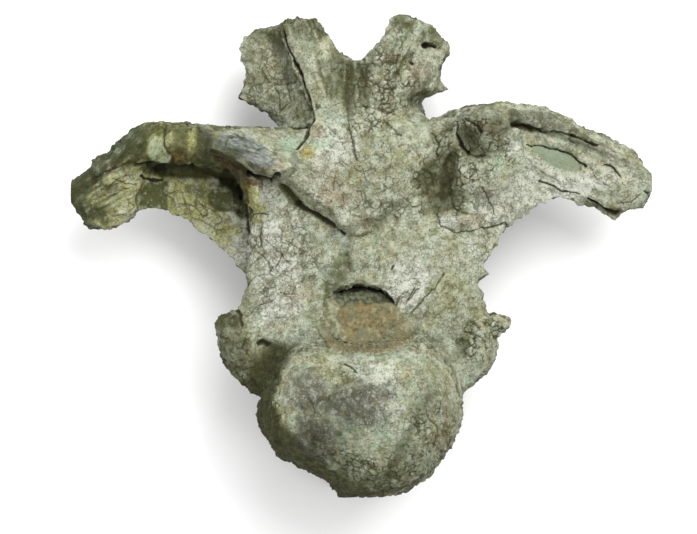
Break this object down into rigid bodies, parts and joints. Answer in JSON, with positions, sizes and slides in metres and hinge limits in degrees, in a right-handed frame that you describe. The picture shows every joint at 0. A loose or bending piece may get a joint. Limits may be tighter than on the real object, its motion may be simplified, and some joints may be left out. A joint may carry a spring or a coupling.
{
  "type": "fossil sauropod vertebra",
  "caption": "Fossil backbone vertebra of a long-necked dinosaur, lying on its back with its ball-shaped front face up, with a forked spine and two side processes.",
  "frame": {"origin": "middle of the bone's footprint, on the surface that it rests on", "axes": "+X across the bone from the tip of one side process to the other, +Y towards the tips of the forked spine, +Z out of the ball-shaped front face, straight up"},
  "size_m": [0.5234, 0.4332, 0.2106],
  "materials": {
    "fossil_bone": "matte mineral, finely cracked",
    "sediment": "matte, earthy"
  },
  "bodies": {
    "root": {"vertebra": "fossil_bone", "canal_matrix": "sediment"}
  },
  "joints": []
}
